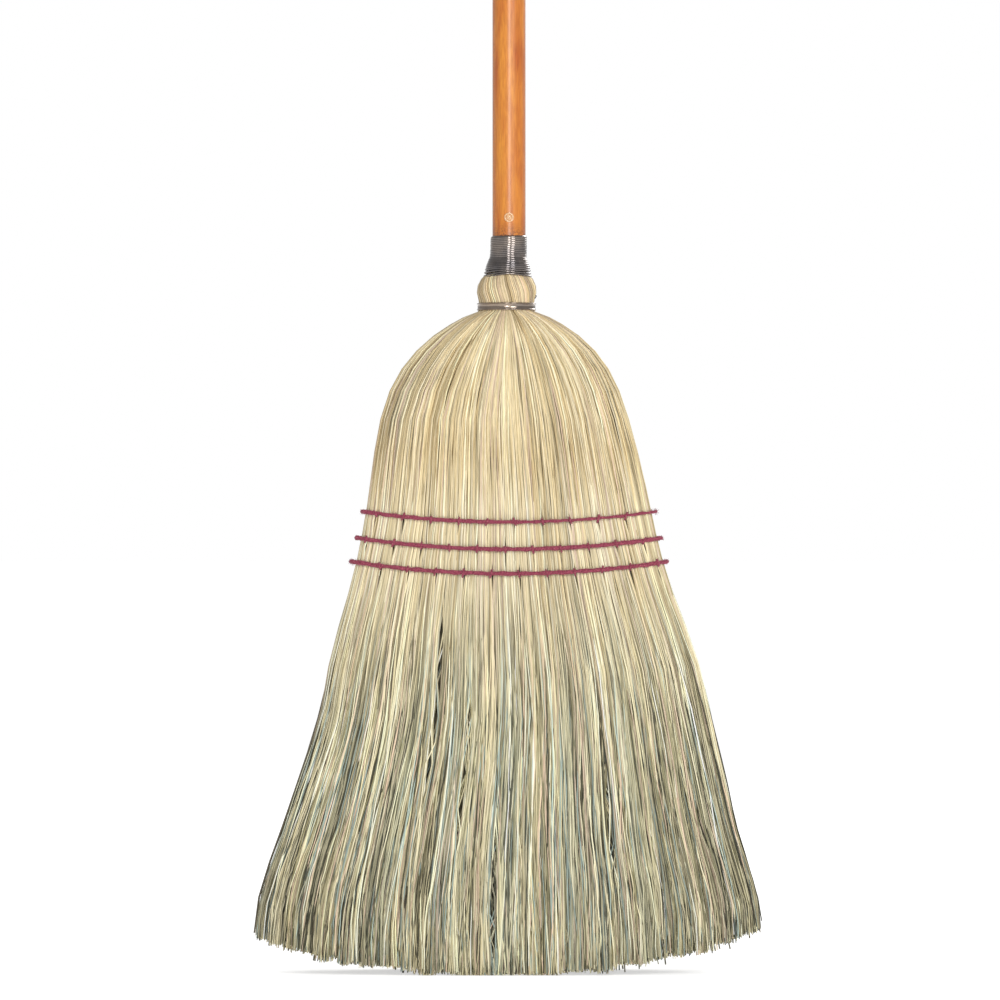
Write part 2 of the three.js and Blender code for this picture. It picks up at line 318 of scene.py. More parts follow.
class Straws:
    """A family of straws that runs down the head: one angle and one depth under the surface for each."""

    def __init__(self, angle, inset, top, radius, taper, kink, steps=None, stray=0.012):
        self.angle = angle
        self.count = len(angle)
        self.clump = nearest_clump(angle)
        self.kink = kink
        self.branch = steps is not None
        u0, _ = outline(angle, 0.0)
        rough_x = u0 * half_width(0.03)
        ragged = rng.normal(0, 1.0 * MM, self.count) + clump_trim[self.clump]
        short = rng.random(self.count) < 0.08
        ragged += np.where(short, rng.uniform(2, 14, self.count) * MM, 0)
        slant = TRIM_SLANT * rough_x / half_width(0.03)
        self.tips = np.maximum(trim_height(rough_x) + 1.8 * MM + slant + ragged, 0.4 * MM)
        knots = LONG_KNOTS if steps is None else None
        self.z = straw_heights(top, self.tips, steps, knots)
        share = np.linspace(0, 1, self.z.shape[1])[None, :]
        self.radii = radius[:, None] * (1 + (taper - 1) * share**1.5)
        self.radii[:, -1] *= 0.85
        self.paths = self.place(inset, stray)
        x_tip = self.paths[:, -1, 0]
        y_tip = self.paths[:, -1, 1]
        self.face = np.where(y_tip < 0, "front", "back")
        self.share = x_tip / half_width(0.03)

    def place(self, inset, stray):
        z = self.z
        n = self.count
        u, v = outline(self.angle[:, None], z)
        depth = half_depth(z)
        skirt = np.clip((STITCH_LOW - z) / STITCH_LOW, 0, 1)
        tight = np.exp(-(((z - 0.31) / 0.05) ** 2))
        loose = 0.35 * MM + 1.1 * MM * (1 - tight) * (z < BAND_LOW[2]) + 1.6 * MM * skirt**1.3
        at_neck = smoothstep(0.44, 0.468, z)
        under = self.radii * at_neck + inset[:, None] * depth
        if self.branch:
            under = under + 3.5 * MM * (1 - smoothstep(0, 0.08, z[:, :1] - z))
        under = under + clump_inset[self.clump][:, None] * smoothstep(0, 0.5, skirt)
        buried = np.clip(rng.random((n, 1)) - room_at(z), 0, 1)
        under = under + stitch_pinch(u * half_width(z), z) + 0.3 * buried * depth
        x = u * (half_width(z) - under)
        y = v * (depth - under)
        slope = rng.normal(0, stray, (n, 1))
        loose = loose * (1 - 0.8 * at_neck)
        x = x + loose * waves(n, z, 0.16, 0.5) + slope * skirt * STITCH_LOW
        y = y + 0.35 * loose * waves(n, z, 0.15, 0.4)
        centre_u, _ = outline(clump_angle[self.clump][:, None], z)
        pull = clump_pull[self.clump][:, None] * skirt * smoothstep(0.98, 0.75, np.abs(u))
        x = x + pull * (centre_u * half_width(z) - x)
        x = x + 0.5 * MM * smoothstep(0.29, 0.21, z) * waves(n, z, 0.045, 0.11)
        x = x + stitch_push(x, z) * (under < 4 * MM) + parting_push(x, z) * (under < 8 * MM)
        wild = smoothstep(0.26, 0.02, z) * self.kink
        x = x + wild * rng.normal(0, 1, z.shape)
        y = y + 0.7 * wild * rng.normal(0, 1, z.shape)
        twist = NECK_TWIST * smoothstep(BAND_LOW[2], HEAD_TOP, z)
        c, s = np.cos(twist), np.sin(twist)
        x = keep_inside(x, half_width(z) - 0.9 * MM * at_neck)
        y = keep_inside(y, half_depth(z) - 0.9 * MM * at_neck)
        return np.stack([x * c - y * s + sway(z), x * s + y * c, z], axis=2)

    def pick(self, chosen):
        """The paths and radii of some of the straws."""
        return self.paths[chosen], self.radii[chosen]


# ---- Straw colour ----

CREAM = np.array([0.835, 0.765, 0.61])
PALE = np.array([0.88, 0.825, 0.695])
GOLD = np.array([0.775, 0.70, 0.535])
TAN = np.array([0.69, 0.605, 0.445])
SAGE = np.array([0.66, 0.61, 0.49])
WHITE_STRAW = np.array([0.93, 0.885, 0.745])
DRY = np.array([0.77, 0.73, 0.585])
KHAKI = np.array([0.66, 0.63, 0.505])
MIST = np.array([0.60, 0.66, 0.63])
ROSE = np.array([0.80, 0.705, 0.61])
OLIVE = np.array([0.50, 0.475, 0.35])
SHADE = np.array([0.25, 0.24, 0.18])
UPPER_TINTS = np.array([CREAM, PALE, GOLD, TAN, SAGE, ROSE])
LOWER_TINTS = np.array([WHITE_STRAW, DRY, KHAKI, MIST, ROSE, OLIVE, SHADE])
UPPER_ODDS = (0.34, 0.20, 0.22, 0.15, 0.05, 0.04)
LOWER_ODDS = (0.24, 0.20, 0.15, 0.09, 0.09, 0.10, 0.13)


BLEACHED = np.array([0.02, 0.045, 0.09])
# Painted shade: how much the neck's straw is darkened where it gathers under the band.
NECK_SHADE = np.array([0.06, 0.085, 0.10])
# Painted light and shade by height: the straw's brightness at each of these heights, darker low in the skirt
# towards the tips.
SKIRT_HEIGHTS = (0.0, 0.03, 0.05, 0.15, 0.22, 0.3)
SKIRT_LIGHT = (0.985, 0.96, 0.92, 0.98, 1.02, 0.98)


def straw_colours(straws, depth_shade):
    """A colour for each step of each straw: golden above the stitching, cooler and greyer to the tips,
    darkened by painted shade at the neck, low in the skirt and for straws that lie deeper.
    """
    n = straws.count
    upper = UPPER_TINTS[rng.choice(len(UPPER_TINTS), n, p=UPPER_ODDS)]
    lower = LOWER_TINTS[rng.choice(len(LOWER_TINTS), n, p=LOWER_ODDS)]
    cool = clump_cool[straws.clump][:, None]
    lower = lower * (1 - 0.3 * cool) + MIST * 0.3 * cool
    blend = smoothstep(0.325, 0.145, straws.z)[..., None]
    golden = np.exp(-(((straws.z - 0.37) / 0.022) ** 2))[..., None]
    bleach = (1 - golden) * (0.45 + 0.55 * smoothstep(0.38, 0.34, straws.z)[..., None]) * (1 - 0.9 * blend)
    colour = upper[:, None] * (1 - blend) + lower[:, None] * blend
    colour = colour * (1 + bleach * BLEACHED - 0.03 * golden)
    # Up the neck, from 0.45 m to the band, the straw is darkened as painted shade.
    at_neck = smoothstep(0.45, 0.486, straws.z)[..., None]
    light = 1 + rng.normal(0, 1, (n, 1, 1)) * (0.07 + 0.05 * blend + 0.05 * at_neck)
    light = light + (clump_light[straws.clump][:, None, None] - 1) * blend
    # Painted light and shade by height, darker towards the tips.
    height_shade = np.interp(straws.z, SKIRT_HEIGHTS, SKIRT_LIGHT)[..., None]
    colour = colour * light * height_shade * (1 - at_neck * NECK_SHADE) * depth_shade
    return np.clip(colour, 0.02, 0.91) ** 2.2


# ---- Meshes ----

def new_object(name, mesh, material):
    piece = bpy.data.objects.new(name, mesh)
    bpy.context.scene.collection.objects.link(piece)
    mesh.materials.append(material)
    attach(piece, "root")
    return piece


def build_mesh(name, vertices, faces, sizes):
    """A mesh from flat arrays: vertices (n, 3), corner indices in one row, and corners per face."""
    mesh = bpy.data.meshes.new(name)
    mesh.vertices.add(len(vertices))
    mesh.vertices.foreach_set("co", np.asarray(vertices, dtype=np.float32).ravel())
    mesh.loops.add(len(faces))
    mesh.loops.foreach_set("vertex_index", np.asarray(faces, dtype=np.int32))
    mesh.polygons.add(len(sizes))
    starts = np.concatenate([[0], np.cumsum(sizes)[:-1]])
    mesh.polygons.foreach_set("loop_start", starts.astype(np.int32))
    mesh.update(calc_edges=True)
    mesh.validate()
    mesh.shade_smooth()
    return mesh


def tube_parts(paths, radii, sides, closed=False, spin=None):
    """Tubes along (tubes, steps, 3) paths: their vertices, corners, face sizes and bake-map places."""
    count, steps, _ = paths.shape
    if closed:
        along = np.roll(paths, -1, axis=1) - np.roll(paths, 1, axis=1)
    else:
        along = np.gradient(paths, axis=1)
    along = along / np.linalg.norm(along, axis=2, keepdims=True)
    guide = np.array([0.0, 1.0, 0.0]) if not closed else np.array([0.0, 0.0, 1.0])
    across = np.cross(along, guide)
    across = across / np.linalg.norm(across, axis=2, keepdims=True)
    over = np.cross(across, along)
    if spin is None:
        spin = rng.uniform(0, TAU, (count, 1))
    turn = spin[:, :, None] + TAU * np.arange(sides)[None, None, :] / sides
    reach = radii[:, :, None, None]
    ring = np.cos(turn)[..., None] * across[:, :, None] + np.sin(turn)[..., None] * over[:, :, None]
    vertices = (paths[:, :, None] + reach * ring).reshape(-1, 3)
    tube = np.arange(count)[:, None, None] * steps * sides
    i = np.arange(steps if closed else steps - 1)[None, :, None]
    j = np.arange(sides)[None, None, :]
    i_next = (i + 1) % steps
    j_next = (j + 1) % sides
    here, down = tube + i * sides, tube + i_next * sides
    quads = np.stack([here + j, down + j, down + j_next, here + j_next], axis=-1)
    corner_step = np.broadcast_to(np.stack([i, i + 1, i + 1, i], axis=-1), quads.shape)
    corner_side = np.broadcast_to(np.stack([j, j, j + 1, j + 1], axis=-1), quads.shape)
    tube_of = np.broadcast_to(np.arange(count)[:, None, None, None], quads.shape)
    faces = [quads.ravel()]
    sizes = [np.full(quads.size // 4, 4)]
    place = [np.stack([tube_of.ravel(), corner_side.ravel() / sides, corner_step.ravel() / steps], axis=1)]
    if not closed:
        ends = np.arange(sides)
        for step, order in ((0, ends), (steps - 1, ends[::-1])):
            caps = (np.arange(count) * steps * sides)[:, None] + step * sides + order[None, :]
            faces.append(caps.ravel())
            sizes.append(np.full(count, sides))
            owner = np.repeat(np.arange(count), sides)
            around = np.tile(order / sides, count)
            place.append(np.stack([owner, around, np.full(owner.size, step / steps)], axis=1))
    return vertices, np.concatenate(faces), np.concatenate(sizes), np.vstack(place)


def join_parts(parts):
    """Several tube_parts results as one."""
    vertices, faces, sizes, places = [], [], [], []
    start = 0
    tubes = 0
    for v, f, s, p in parts:
        vertices.append(v)
        faces.append(f + start)
        sizes.append(s)
        places.append(p + [tubes, 0, 0])
        start += len(v)
        tubes += int(p[:, 0].max()) + 1
    return np.vstack(vertices), np.concatenate(faces), np.concatenate(sizes), np.vstack(places), tubes


def lay_out_tubes(mesh, places, tubes, columns=24):
    """Gives every tube its own cell of the bake map, so that each keeps its own colour."""
    rows = math.ceil(tubes / columns)
    margin = 0.12
    column = places[:, 0] % columns
    row = places[:, 0] // columns
    u = (column + margin + (1 - 2 * margin) * places[:, 1]) / columns
    v = (row + margin + (1 - 2 * margin) * places[:, 2]) / rows
    layer = mesh.uv_layers.new(name="OFBake")
    layer.data.foreach_set("uv", np.stack([u, v], axis=1).astype(np.float32).ravel())


def straw_piece(name, nodes, families, material):
    """One handful of straw: the chosen straws of each family in one mesh, with a colour at each point."""
    parts = []
    colours = []
    for straws, chosen, sides, tint in families:
        if chosen.any():
            parts.append(tube_parts(*straws.pick(chosen), sides))
            colours.append(np.repeat(tint[chosen].reshape(-1, 3), sides, axis=0))
    vertices, faces, sizes, places, tubes = join_parts(parts)
    mesh = build_mesh(name, vertices, faces, sizes)
    lay_out_tubes(mesh, places, tubes)
    layer = mesh.color_attributes.new(name="straw_colour", type="FLOAT_COLOR", domain="POINT")
    rgba = np.ones((len(vertices), 4), dtype=np.float32)
    rgba[:, :3] = np.vstack(colours)
    layer.data.foreach_set("color", rgba.ravel())
    piece = new_object(name, mesh, material)
    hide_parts(*nodes)
    return piece


# ---- Material kit ----

class Nodes:
    """A node material: short ways to add nodes and link them."""

    def __init__(self, name):
        self.material = bpy.data.materials.new(name)
        self.material.use_nodes = True
        self.tree = self.material.node_tree
        self.shader = self.tree.nodes["Principled BSDF"]

    def add(self, kind, **settings):
        node = self.tree.nodes.new(kind)
        for key, value in settings.items():
            setattr(node, key, value)
        return node

    def link(self, out, into):
        self.tree.links.new(out, into)

    def set(self, socket, value):
        self.shader.inputs[socket].default_value = value

    def position(self, scale):
        """Object coordinates, scaled."""
        source = self.add("ShaderNodeTexCoord")
        mapping = self.add("ShaderNodeMapping")
        mapping.inputs["Scale"].default_value = scale
        self.link(source.outputs["Object"], mapping.inputs["Vector"])
        return mapping.outputs["Vector"]

    def noise(self, scale, detail=3, roughness=0.55):
        node = self.add("ShaderNodeTexNoise")
        node.inputs["Scale"].default_value = 1
        node.inputs["Detail"].default_value = detail
        node.inputs["Roughness"].default_value = roughness
        self.link(self.position(scale), node.inputs["Vector"])
        return node.outputs["Fac"]

    def ramp(self, factor, stops):
        node = self.add("ShaderNodeValToRGB")
        elements = node.color_ramp.elements
        for element, (place, colour) in zip(elements, stops):
            element.position = place
            element.color = (*colour, 1)
        for place, colour in stops[2:]:
            element = elements.new(place)
            element.color = (*colour, 1)
        self.link(factor, node.inputs["Fac"])
        return node.outputs["Color"]

    def mix(self, blend, factor, a, b):
        node = self.add("ShaderNodeMix", data_type="RGBA", blend_type=blend)
        for value, socket in ((factor, node.inputs[0]), (a, node.inputs[6]), (b, node.inputs[7])):
            if isinstance(value, bpy.types.NodeSocket):
                self.link(value, socket)
            else:
                socket.default_value = value
        return node.outputs[2]

    def span(self, factor, low, high):
        node = self.add("ShaderNodeMapRange")
        node.inputs["To Min"].default_value = low
        node.inputs["To Max"].default_value = high
        self.link(factor, node.inputs["Value"])
        return node.outputs["Result"]

    def maths(self, operation, a, b):
        node = self.add("ShaderNodeMath", operation=operation, use_clamp=True)
        self.link(a, node.inputs[0])
        self.link(b, node.inputs[1])
        return node.outputs[0]

    def along(self, axis, start, end):
        """0 to 1 along an axis, from start to end in metres."""
        split = self.add("ShaderNodeSeparateXYZ")
        self.link(self.position((1, 1, 1)), split.inputs["Vector"])
        node = self.add("ShaderNodeMapRange")
        node.inputs["From Min"].default_value = start
        node.inputs["From Max"].default_value = end
        self.link(split.outputs[axis], node.inputs["Value"])
        return node.outputs["Result"]

    def bump(self, height, strength, distance):
        node = self.add("ShaderNodeBump")
        node.inputs["Strength"].default_value = strength
        node.inputs["Distance"].default_value = distance
        self.link(height, node.inputs["Height"])
        self.link(node.outputs["Normal"], self.shader.inputs["Normal"])


def straw_material():
    n = Nodes("broomcorn_straw")
    tint = n.add("ShaderNodeAttribute", attribute_name="straw_colour").outputs["Color"]
    streak = n.noise((900, 900, 45), detail=4)
    shade = n.ramp(streak, [(0.25, (0.72, 0.70, 0.66)), (0.75, (1.12, 1.10, 1.05))])
    n.link(n.mix("MULTIPLY", 0.6, tint, shade), n.shader.inputs["Base Color"])
    n.link(n.span(n.noise((500, 500, 60)), 0.42, 0.68), n.shader.inputs["Roughness"])
    n.set("Specular IOR Level", 0.35)
    n.bump(streak, 0.35, 0.2 * MM)
    return n.material


def lacquer_material():
    """Amber wood under old lacquer: golden patches, fine flecks, and dark crumbs above the winding."""
    n = Nodes("amber_lacquered_wood")
    patches = n.ramp(n.noise((110, 110, 16), detail=3), [
        (0.3, (0.38, 0.088, 0.006)),
        (0.72, (0.60, 0.23, 0.022)),
    ])
    grain = n.ramp(n.noise((700, 700, 90), detail=4, roughness=0.6), [
        (0.3, (0.74, 0.66, 0.58)),
        (0.62, (1.05, 1.05, 1.05)),
    ])
    wood = n.mix("MULTIPLY", 0.8, patches, grain)
    height = n.along(2, WINDING_HIGH[2] + 9 * MM, WINDING_HIGH[2] - 1 * MM)
    crumbs = n.maths("MULTIPLY", n.span(n.noise((900, 900, 800), detail=2), -1.1, 2.2), height)
    n.link(n.mix("MIX", crumbs, wood, (0.16, 0.045, 0.008, 1)), n.shader.inputs["Base Color"])
    n.link(n.span(grain, 0.26, 0.4), n.shader.inputs["Roughness"])
    n.set("Specular IOR Level", 0.25)
    n.set("Coat Weight", 0.75)
    n.set("Coat Roughness", 0.26)
    n.bump(n.noise((420, 420, 230), detail=3), 0.45, 0.25 * MM)
    return n.material


def lacquered_nail_material():
    n = Nodes("lacquered_nail")
    n.link(n.ramp(n.noise((900, 900, 900)), [
        (0.3, (0.42, 0.20, 0.07)),
        (0.7, (0.72, 0.47, 0.26)),
    ]), n.shader.inputs["Base Color"])
    n.set("Roughness", 0.3)
    n.set("Coat Weight", 1.0)
    n.set("Coat Roughness", 0.12)
    return n.material


MOTTLE = (60, 60, 60)


def metal_material(name, dark, light, rough, scale):
    """Steel mottled between a dark and a light tone: partly tarnish, partly painted reflection, the tones
    darker and browner than the steel to stand in for the surroundings it mirrors.
    """
    n = Nodes(name)
    tone = n.ramp(n.noise(MOTTLE), [(0.3, dark), (0.7, light)])
    patina = n.ramp(n.noise(scale, detail=4), [(0.3, (0.72, 0.7, 0.7)), (0.7, (1.15, 1.15, 1.15))])
    n.link(n.mix("MULTIPLY", 0.8, tone, patina), n.shader.inputs["Base Color"])
    n.link(n.span(n.noise(tuple(2.3 * s for s in scale)), rough[0], rough[1]), n.shader.inputs["Roughness"])
    n.set("Metallic", 1.0)
    n.set("Coat Weight", 0.15)
    n.set("Coat Roughness", 0.1)
    return n.material


def twine_material():
    n = Nodes("crimson_twine")
    fibre = n.noise((1500, 1500, 1500), detail=5)
    red = n.ramp(fibre, [
        (0.3, (0.085, 0.008, 0.019)),
        (0.74, (0.46, 0.11, 0.17)),
        (0.52, (0.22, 0.022, 0.05)),
    ])
    n.link(red, n.shader.inputs["Base Color"])
    n.link(n.span(fibre, 0.6, 0.85), n.shader.inputs["Roughness"])
    n.set("Sheen Weight", 0.35)
    n.set("Sheen Roughness", 0.4)
    n.set("Sheen Tint", (1.0, 0.62, 0.7, 1))
    n.bump(fibre, 0.6, 0.25 * MM)
    return n.material


# ---- Straw ----

def angle_families():
    """The straws of the head: long stalks at and under the surface, and fine branches in the skirt."""
    quick = 1.0

    def many(count):
        return int(count * quick)

    families = []

    def family(count, inset, top, radius, taper, kink, sides, depth_shade, steps=None, stray=0.012):
        angle = even_angles(many(count))
        n = len(angle)
        straws = Straws(
            angle,
            rng.uniform(*inset, n),
            rng.uniform(*top, n),
            rng.uniform(*radius, n) * MM,
            taper,
            kink * MM,
            steps,
            stray,
        )
        families.append((straws, sides, straw_colours(straws, depth_shade)))

    # Each family's eighth number is painted shade: the deeper the family lies, the darker its straw.
    full = (HEAD_TOP, HEAD_TOP)
    family(1250, (0.0, 0.03), full, (0.32, 0.56), 0.95, 0.14, 5, 1.0, None, 0.005)
    family(760, (0.035, 0.11), full, (0.5, 0.72), 0.85, 0.25, 5, 0.9, None, 0.008)
    family(460, (0.14, 0.3), full, (0.8, 1.2), 0.7, 0.5, 4, 0.7)
    family(2000, (0.0, 0.045), (0.15, 0.29), (0.34, 0.58), 0.9, 0.26, 5, 1.0, 18, 0.01)
    family(1900, (0.04, 0.16), (0.12, 0.28), (0.42, 0.66), 0.9, 0.4, 4, 0.78, 14, 0.015)
    family(1600, (0.14, 0.34), (0.12, 0.28), (0.5, 0.8), 0.9, 0.7, 4, 0.58, 12, 0.025)
    family(800, (0.01, 0.04), (0.07, 0.24), (0.2, 0.32), 0.8, 0.7, 3, 1.0, 14, 0.012)
    return families


def inner_family():
    n = 700
    angle = even_angles(n)
    depth = rng.uniform(0.38, 0.97, n)
    straws = Straws(
        angle, depth, rng.uniform(0.3, 0.44, n), rng.uniform(0.8, 1.4, n) * MM, 0.7, 0.6 * MM, 12, 0.05
    )
    # 0.62 is painted shade for the inner straws, which lie deep in the head.
    return straws, 4, straw_colours(straws, 0.62)


def build_straw(material):
    families = angle_families()
    slab_of = [np.floor(s.share / SLAB_SHARE).astype(int) + SLABS // 2 for s, _, _ in families]
    for face in ("front", "back"):
        for k in range(SLABS):
            chosen = [(s, (slab == k) & (s.face == face), sides, tint)
                      for (s, sides, tint), slab in zip(families, slab_of)]
            name = f"cover_straw_{face}_{k + 1}"
            straw_piece(f"straw_{face}_{k + 1}", [name], chosen, material)
    for side, at_side in (("left", lambda slab: slab < 0), ("right", lambda slab: slab >= SLABS)):
        chosen = [(s, at_side(slab), sides, tint) for (s, sides, tint), slab in zip(families, slab_of)]
        straw_piece(f"straw_shoulder_{side}", [f"shoulder_straw_{side}"], chosen, material)
    straws, sides, tint = inner_family()
    step = np.clip(np.floor(np.abs(straws.share) / SLAB_SHARE).astype(int), 0, 3)
    middle = [(straws, step == 0, sides, tint)]
    straw_piece("straw_inner_middle", ["inner_straw_middle"], middle, material)
    for side, sign in (("left", -1), ("right", 1)):
        for k in (1, 2, 3):
            chosen = [(straws, (step == k) & (np.sign(straws.share) == sign), sides, tint)]
            node = f"inner_straw_{side}_{k}"
            straw_piece(f"straw_inner_{side}_{k}", [node], chosen, material)


# ---- Twine ----

def surface_point(x, z, face, lift):
    """A point over the straw's surface at x and z, on the front (-1) or the back (1)."""
    width = half_width(z)
    share = np.clip(np.abs(x) / width, 0, 0.999)
    n = exponent(z)
    depth = half_depth(z) * (1 - share**n) ** (1 / n)
    return np.stack([x + 0 * z, face * (depth + lift), z + 0 * x], axis=-1)


def wrap_path(row, lift, steps):
    """A closed line round the head at the row's height, a little off the straw, with even steps."""
    turn = np.linspace(0, TAU, 2400, endpoint=False)
    u, v = outline(turn, row.middle)
    z = row.height(u * row.width)
    x = u * (half_width(z) + lift)
    y = v * (half_depth(z) + lift)
    points = np.stack([x, y, z], axis=1)
    closed = np.vstack([points, points[:1]])
    length = np.concatenate([[0], np.cumsum(np.linalg.norm(np.diff(closed, axis=0), axis=1))])
    wanted = np.linspace(0, length[-1], steps, endpoint=False)
    return np.stack([np.interp(wanted, length, closed[:, k]) for k in range(3)], axis=1)


def twisted_cord(path, strand_radius, lay, size):
    """Three strands wound round each other along a closed path; size is the cord's thickness along it."""
    strands = 3
    along, across, over = frame_along(path)
    steps = len(path)
    length = np.linalg.norm(np.diff(path, axis=0), axis=1).sum()
    turns = round(length / lay)
    parts = []
    for k in range(strands):
        angle = (TAU * (turns * np.arange(steps) / steps + k / strands))[:, None]
        from_middle = (strand_radius * 1.02 * size)[:, None]
        wound = path + from_middle * (np.cos(angle) * across + np.sin(angle) * over)
        thickness = (strand_radius * size)[None]
        parts.append(tube_parts(wound[None], thickness, 8, closed=True, spin=np.zeros((1, 1))))
    return parts


def frame_along(path):
    """The direction of a closed path at each point, and two directions across it."""
    along = np.roll(path, -1, axis=0) - np.roll(path, 1, axis=0)
    along = along / np.linalg.norm(along, axis=1, keepdims=True)
    across = np.cross(along, (0, 0, 1.0))
    across = across / np.linalg.norm(across, axis=1, keepdims=True)
    return along, across, np.cross(across, along)


def cord_fuzz(path, cord_radius, count):
    """Short loose hairs that stand out of the cord."""
    along, across, over = frame_along(path)
    at = rng.integers(0, len(path), count)
    turn = rng.uniform(0, TAU, count)[:, None]
    out = np.cos(turn) * across[at] + np.sin(turn) * over[at]
    drift = along[at] * rng.uniform(-1, 1, (count, 1))
    reach = rng.uniform(0.4, 1.3, (count, 1)) * MM
    root = path[at] + 0.85 * cord_radius * out
    points = [root, root + 0.6 * reach * (out + 0.5 * drift), root + reach * (out + 1.3 * drift)]
    paths = np.stack(points, axis=1)
    return tube_parts(paths, np.full(paths.shape[:2], 0.09 * MM), 3)


def stitch_loops(row, lift):
    """The short loops that cross the wrap at each stitch and go into the straw above and below it."""
    paths = []
    for face in (-1, 1):
        for x in row.stitches:
            z = float(row.height(x))
            lean = rng.uniform(0.2, 1.1) * MM * rng.choice([-1, 1])
            high = rng.uniform(1.7, 2.7) * MM
            low = rng.uniform(1.8, 3.2) * MM
            route = [
                (x + lean, z + high, -1.2 * MM),
                (x + 0.8 * lean, z + 0.8 * high, 0.9 * MM),
                (x + 0.4 * lean, z + 0.45 * high, lift + 1.3 * MM),
                (x, z, lift + 1.8 * MM),
                (x - 0.4 * lean, z - 0.45 * low, lift + 1.3 * MM),
                (x - 0.8 * lean, z - 0.8 * low, 0.9 * MM),
                (x - lean, z - low, -1.2 * MM),
            ]
            knots = np.array([
                surface_point(np.float64(at_x), np.float64(at_z), face, off) for at_x, at_z, off in route
            ])
            share = np.linspace(0, len(knots) - 1, 19)
            at = np.arange(len(knots), dtype=float)
            paths.append(np.stack([smooth_curve(at, knots[:, c], share) for c in range(3)], axis=1))
    paths = np.array(paths)
    radii = rng.uniform(0.6, 0.9, (len(paths), 1)) * MM * np.ones((1, paths.shape[1]))
    return tube_parts(paths, radii, 8)


def build_twine(material):
    lift = 1.5 * MM
    strand = 0.84 * MM
    for row in ROWS:
        path = wrap_path(row, lift, 420)
        path[:, 2] += 0.1 * MM * closed_noise(len(path))
        size = (1 + 0.09 * closed_noise(len(path))) * (1 + 0.15 * smoothstep(-0.09, -0.15, path[:, 0]))
        if row is ROWS[0]:
            size = size * (0.95 - 0.25 * smoothstep(-0.02, 0.05, path[:, 0]))
        parts = twisted_cord(path, strand, 6.5 * MM, size)
        parts.append(cord_fuzz(path, 2 * strand, 900))
        parts.append(stitch_loops(row, lift))
        vertices, faces, sizes, _, _ = join_parts(parts)
        mesh = build_mesh(row.node, vertices, faces, sizes)
        piece = new_object(row.node.replace("stitch_row", "stitching"), mesh, material)
        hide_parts(row.node)


def closed_noise(steps):
    """Smooth noise of size about 1 round a closed path."""
    turn = TAU * np.arange(steps) / steps
    total = np.zeros(steps)
    for _ in range(6):
        total += np.sin(rng.integers(9, 70) * turn + rng.uniform(0, TAU))
    return total / 1.7


# ---- Neck, wire and handle ----

def lathe_mesh(name, profile, segments=96):
    """A closed turned body from (radius, height) points. Its ends lie on the axis, or it closes on itself."""
    profile = np.array(profile)
    ring = len(profile)
    turn = TAU * np.arange(segments) / segments
    x = profile[None, :, 0] * np.cos(turn)[:, None]
    y = profile[None, :, 0] * np.sin(turn)[:, None]
    z = np.broadcast_to(profile[None, :, 1], x.shape)
    vertices = np.stack([x, y, z], axis=2).reshape(-1, 3)
    i = np.arange(segments)[:, None]
    j = np.arange(ring)[None, :]
    i_next = (i + 1) % segments
    j_next = (j + 1) % ring
    quads = np.stack([i * ring + j, i_next * ring + j, i_next * ring + j_next, i * ring + j_next], axis=-1)
    return build_mesh(name, vertices, quads.ravel(), np.full(quads.size // 4, 4))


def build_band(material):
    """A rolled steel strip: a shallow hollow between two rounded edges."""
    outer = float(BAND_HIGH[0])
    low, high = float(BAND_LOW[2]), float(BAND_HIGH[2])
    bead = 0.55 * MM
    inner = outer - 1.1 * MM
    profile = [(inner, low + bead), (inner, high - bead)]
    profile += [
        (outer - bead + bead * math.sin(a), high - bead + bead * math.cos(a))
        for a in np.linspace(-0.5 * math.pi, 0.8 * math.pi, 9)
    ]
    profile += [(outer - 0.5 * MM, high - 2.2 * bead), (outer - 0.5 * MM, low + 2.2 * bead)]
    profile += [
        (outer - bead + bead * math.sin(a), low + bead - bead * math.cos(a))
        for a in np.linspace(0.8 * math.pi, -0.5 * math.pi, 9)
    ]
    mesh = lathe_mesh("rolled_neck_band", profile[::-1])
    mesh.transform(Matrix.Translation((float(sway((low + high) / 2)), 0, 0)))
    piece = new_object("rolled_neck_band", mesh, material)
    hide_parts("neck_band")


def wire_mesh(name, path, radii):
    vertices, faces, sizes, _ = tube_parts(path[None], radii[None], 10, spin=np.zeros((1, 1)))
    return build_mesh(name, vertices, faces, sizes)


def winding_path():
    """Close turns down the handle, bedded in lacquer, then wider and looser ones over the straw's butts."""
    thick, thin = 1.85 * MM, 0.7 * MM
    pitch = 1.3 * MM
    top = float(WINDING_HIGH[2]) - thick
    bottom = float(WINDING_LOW[2]) + thin
    cone_top = bottom + 0.47 * (top - bottom)
    wide = float(WINDING_HIGH[0]) - 0.4 * MM
    narrow = HANDLE_RADIUS + 1.15 * MM
    turns = (top - bottom) / pitch
    share = np.linspace(0, 1, int(turns * 44))
    z = top + (bottom - top) * share
    angle = -TAU * turns * share
    radii = thick + (thin - thick) * smoothstep(bottom + 8 * MM, bottom + 2 * MM, z)
    r = np.interp(z, [bottom, cone_top, top], [wide, narrow + 0.3 * MM, narrow]) - radii
    r = r + 0.06 * MM * np.sin(3.1 * angle) + 0.06 * MM * np.sin(0.37 * angle)
    loose = smoothstep(bottom + 5 * MM, bottom, z)
    sag = np.where(np.cos(angle) < 0, 3.0, 2.0) * MM
    z = z - sag * loose * np.abs(np.cos(angle)) ** 1.5
    return np.stack([r * np.cos(angle) + sway(z), r * np.sin(angle), z], axis=1), radii


